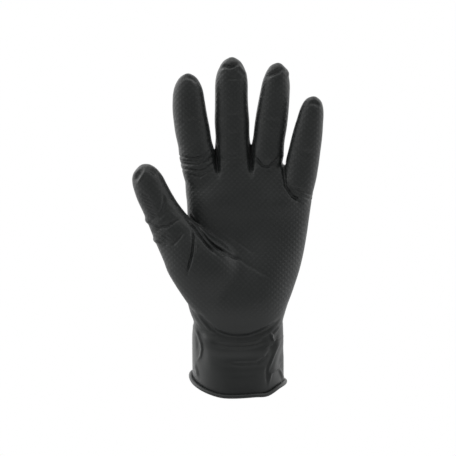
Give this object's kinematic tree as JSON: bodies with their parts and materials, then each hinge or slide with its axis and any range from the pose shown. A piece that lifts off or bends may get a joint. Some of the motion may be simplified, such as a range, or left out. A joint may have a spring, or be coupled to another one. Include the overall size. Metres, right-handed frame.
{
  "type": "nitrile exam glove",
  "caption": "Disposable black nitrile exam glove in its worn open-hand shape: a thin hollow film with finger sleeves, a thumb, a palm and a smooth cuff with a rolled bead.",
  "frame": {"origin": "middle of the cuff's opening, where the wrist goes in, at the mean height of the rim", "axes": "+Z from the cuff to the finger tips, -Y out of the palm, -X to the thumb's side"},
  "size_m": [0.132, 0.0582, 0.2365],
  "materials": {
    "nitrile_film": "matt black nitrile film, raised diamond grip texture on the hand, smoother on the cuff"
  },
  "bodies": {
    "root": {"glove": "nitrile_film"}
  },
  "joints": []
}
